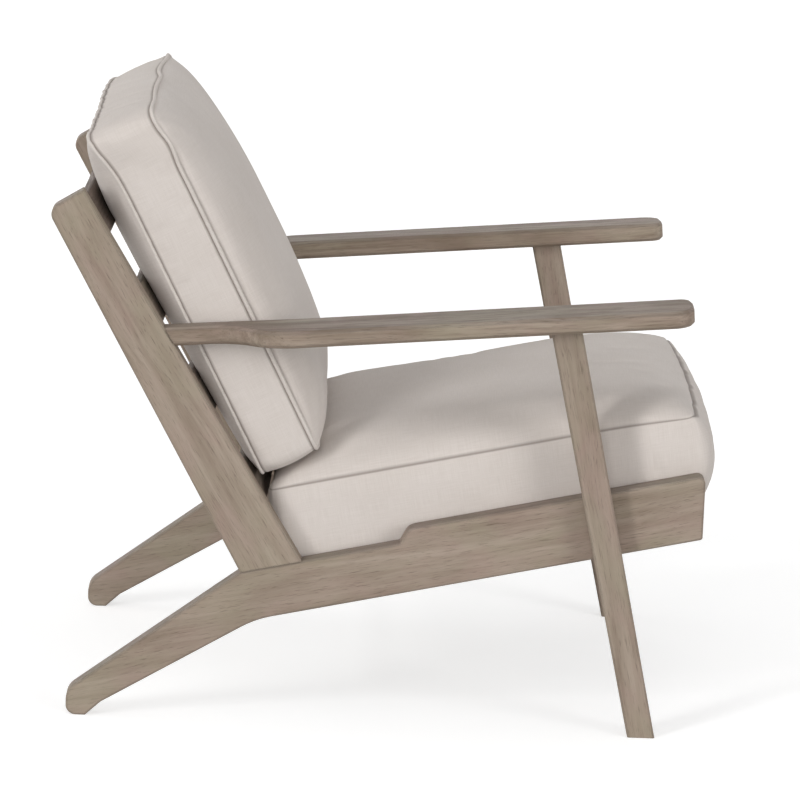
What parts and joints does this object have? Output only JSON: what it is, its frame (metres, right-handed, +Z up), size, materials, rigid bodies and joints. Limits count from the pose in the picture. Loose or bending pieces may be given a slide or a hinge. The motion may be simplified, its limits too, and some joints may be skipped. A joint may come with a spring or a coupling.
{
  "type": "lounge chair",
  "caption": "Low lounge chair with an open wooden frame, flat armrests that narrow to the back, a slatted reclined back and two loose box cushions.",
  "frame": {"origin": "on the floor, in the middle of the whole width and depth", "axes": "+X across the chair to the sitter's left, the chair faces -Y, +Z up"},
  "size_m": [0.696, 0.9231, 0.8606],
  "materials": {
    "frame_wood": "grey-washed, matt",
    "deck_wood": "planed, unfinished",
    "zinc_steel": "zinc plated",
    "brass_sleeve": "plain",
    "linen": "woven linen, matt",
    "foam": "upholstery foam"
  },
  "bodies": {
    "frame": {"armrest_left": "frame_wood", "armrest_right": "frame_wood", "back_post_left": "frame_wood", "back_post_right": "frame_wood", "back_slat_1": "frame_wood", "back_slat_2": "frame_wood", "back_slat_3": "frame_wood", "back_slat_4": "frame_wood", "front_cross_rail": "frame_wood", "front_leg_left": "frame_wood", "front_leg_right": "frame_wood", "leg_bolts": "zinc_steel", "leg_threaded_sleeves": "brass_sleeve", "leg_washers": "zinc_steel", "rear_cross_rail": "frame_wood", "seat_cleat_left": "deck_wood", "seat_cleat_right": "deck_wood", "seat_slat_1": "deck_wood", "seat_slat_2": "deck_wood", "seat_slat_3": "deck_wood", "seat_slat_4": "deck_wood", "seat_slat_5": "deck_wood", "side_rail_left": "frame_wood", "side_rail_right": "frame_wood"},
    "seat_cushion": {"seat_cushion_cover": "linen", "seat_cushion_core": "foam"},
    "back_cushion": {"back_cushion_cover": "linen", "back_cushion_core": "foam"}
  },
  "joints": [
    {"name": "seat_cushion_slide", "type": "slide", "parent": "frame", "child": "seat_cushion", "axis": [0, -0.977, 0.213], "range_m": [0, 0.6]},
    {"name": "back_cushion_slide", "type": "slide", "parent": "frame", "child": "back_cushion", "axis": [0, 0.521, 0.8536], "range_m": [0, 0.55]}
  ]
}
